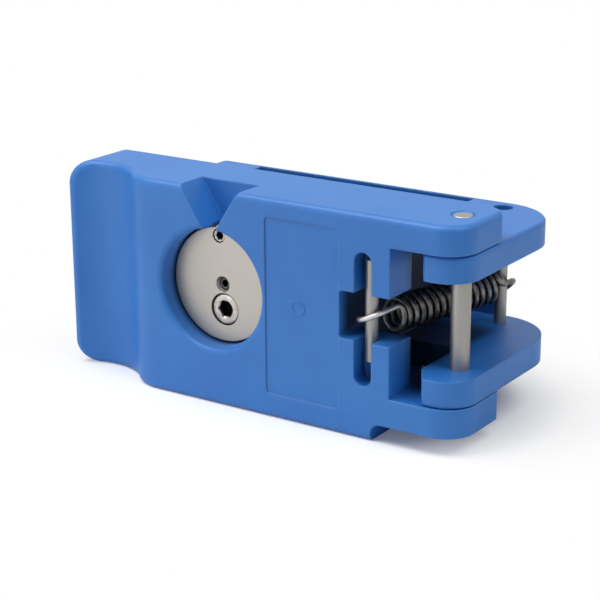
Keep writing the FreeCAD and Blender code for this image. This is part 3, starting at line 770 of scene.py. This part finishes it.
# %% Index plunger
body, front_chamfer, back_chamfer = 2.3, 0.4, 0.2
bore, bore_floor = 1.52, 3.0
plunger_length = extent("index_plunger", "y") / MM
socket_screw("index_plunger_screw", "index_plunger", [
    (bore, bore_floor, 0), (0, bore_floor, 0),
    *socket(1.3, 2.0, drill=0.7, point=0.2, chamfer=0.2, mouth=1.6),
    (body - front_chamfer, 0, 0), (body, front_chamfer, 0), (body, plunger_length - back_chamfer, 0),
    (body - back_chamfer, plunger_length, 0), (bore, plunger_length, 0), (bore, bore_floor, 0)])

# %% [markdown]
# Studio floor and world
# The photograph is a cut-out on white with a soft shadow to the right. A pale floor takes the shadow, and
# the world is white where the camera and reflections look at it but gentler as a light, so the blue keeps
# its own value. A stronger world would whiten the floor by itself, but it would wash out the plastic too.

# %% Floor
# The tool is long along x, so a length along x counts for less in the distance from it.
x_weight = 0.6
fade_span = 0.25
floor_reach = 3.0
floor_white = (0.96, 0.96, 0.96, 1)
white = (1, 1, 1, 1)


def pale_floor():
    """A flat square at z = 0. Its finish is a diffuse white that takes the shadow, and away from the tool
    the camera sees more and more of a plain white instead."""
    corners = np.array([(-1, -1, 0), (1, -1, 0), (1, 1, 0), (-1, 1, 0)]) * floor_reach
    mesh = bpy.data.meshes.new("studio_floor")
    mesh.from_pydata(corners, [], [(0, 1, 2, 3)])
    floor = bpy.data.objects.new("studio_floor", mesh)
    bpy.context.scene.collection.objects.link(floor)
    paper = Finish("pale_floor", Base_Color=floor_white, Roughness=0.9, Specular_IOR_Level=0.0)
    x, y, _ = paper.place()
    away = (x * x * x_weight + y * y) ** 0.5
    share = paper.ramp(away * (1 / fade_span), (0.2, 0.1), (0.28, 0.75), (0.42, 1.0))
    seen = paper.node("ShaderNodeLightPath", output="Is Camera Ray")
    glow = paper.node("ShaderNodeEmission", {}, {"Color": white, "Strength": 1.0})
    diffuse = Flow(paper, paper.shader.outputs[0])
    mixed = paper.node("ShaderNodeMixShader", {}, {0: seen * share, 1: diffuse, 2: glow})
    paper.tree.links.new(mixed.socket, paper.tree.nodes["Material Output"].inputs["Surface"])
    mesh.materials.append(paper.material)
    print("floor side in metres:", 2 * floor_reach)


pale_floor()

# %% World
world_light = 0.13


def white_world():
    """White to the camera, to reflections and through glass, and `world_light` strong as a lamp: a ray that
    is none of these three kinds gets the lower strength."""
    world = bpy.data.worlds.new("studio_world")
    bpy.context.scene.world = world
    world.use_nodes = True
    sky = Network(world.node_tree)
    unseen = 1.0
    for ray in ("Is Camera Ray", "Is Glossy Ray", "Is Transmission Ray"):
        unseen = unseen * (1 - sky.node("ShaderNodeLightPath", output=ray))
    strength = 1 - (1 - world_light) * unseen
    background = sky.tree.nodes["Background"]
    background.inputs["Color"].default_value = white
    sky.tree.links.new(strength.socket, background.inputs["Strength"])
    print("world as a lamp:", world_light)


white_world()

# %% [markdown]
# Lamps
# The light on the tool is broad and soft: a large lamp above and to the left, a weak one low in front that
# keeps the front face blue, and one high on the right that lights the hinge end. Square area lamps act like
# a photographer's soft boxes, where a point or a sun lamp would draw hard shadows.

# %% Lamps
tool_middle = Vector((0, 0, 0.03))


def softbox(name, place, size, power):
    """A square lamp at `place` that faces the tool."""
    lamp = bpy.data.lights.new(name, "AREA")
    lamp.shape = "SQUARE"
    lamp.size = size
    lamp.energy = power
    holder = bpy.data.objects.new(name, lamp)
    facing = (tool_middle - Vector(place)).to_track_quat("-Z", "Y")
    holder.matrix_world = Matrix.Translation(place) @ facing.to_matrix().to_4x4()
    bpy.context.scene.collection.objects.link(holder)


softbox("overhead_softbox", (-0.3, -0.25, 0.85), 0.6, 7.2)
softbox("front_fill", (-0.35, -0.6, 0.08), 0.4, 1.1)
softbox("side_fill", (0.5, 0.0, 0.75), 0.5, 3.0)

# %% [markdown]
# Camera
# The photograph was taken with a long lens from the right of the front, a little above. Its angle, distance
# and focal length come from the edges that run to three vanishing points, so the camera is set from those
# numbers and is not aimed by eye.

# %% Camera from the photograph's angle
azimuth = math.radians(34.06)
elevation = math.radians(17.65)
roll = math.radians(-0.35)
focal_pixels = 1738.45
photo_width = 600
eye = Vector((299.15, -445.25, 198.2)) * MM

ahead = Vector((-math.sin(azimuth), math.cos(azimuth), 0))
forward = ahead * math.cos(elevation) - Vector((0, 0, math.sin(elevation)))
level_right = Vector((math.cos(azimuth), math.sin(azimuth), 0))
level_up = level_right.cross(forward)
right = level_right * math.cos(roll) + level_up * math.sin(roll)
upward = right.cross(forward)

lens = bpy.data.cameras.new("photo_camera")
lens.sensor_width = 36.0
lens.lens = focal_pixels / photo_width * lens.sensor_width
camera = bpy.data.objects.new("photo_camera", lens)
facing = Matrix((right, upward, -forward)).transposed()
camera.matrix_world = Matrix.Translation(eye) @ facing.to_4x4()
bpy.context.scene.collection.objects.link(camera)
bpy.context.scene.camera = camera
bpy.context.scene.view_settings.view_transform = "Standard"
print("lens in mm:", round(lens.lens, 1))

# %% [markdown]
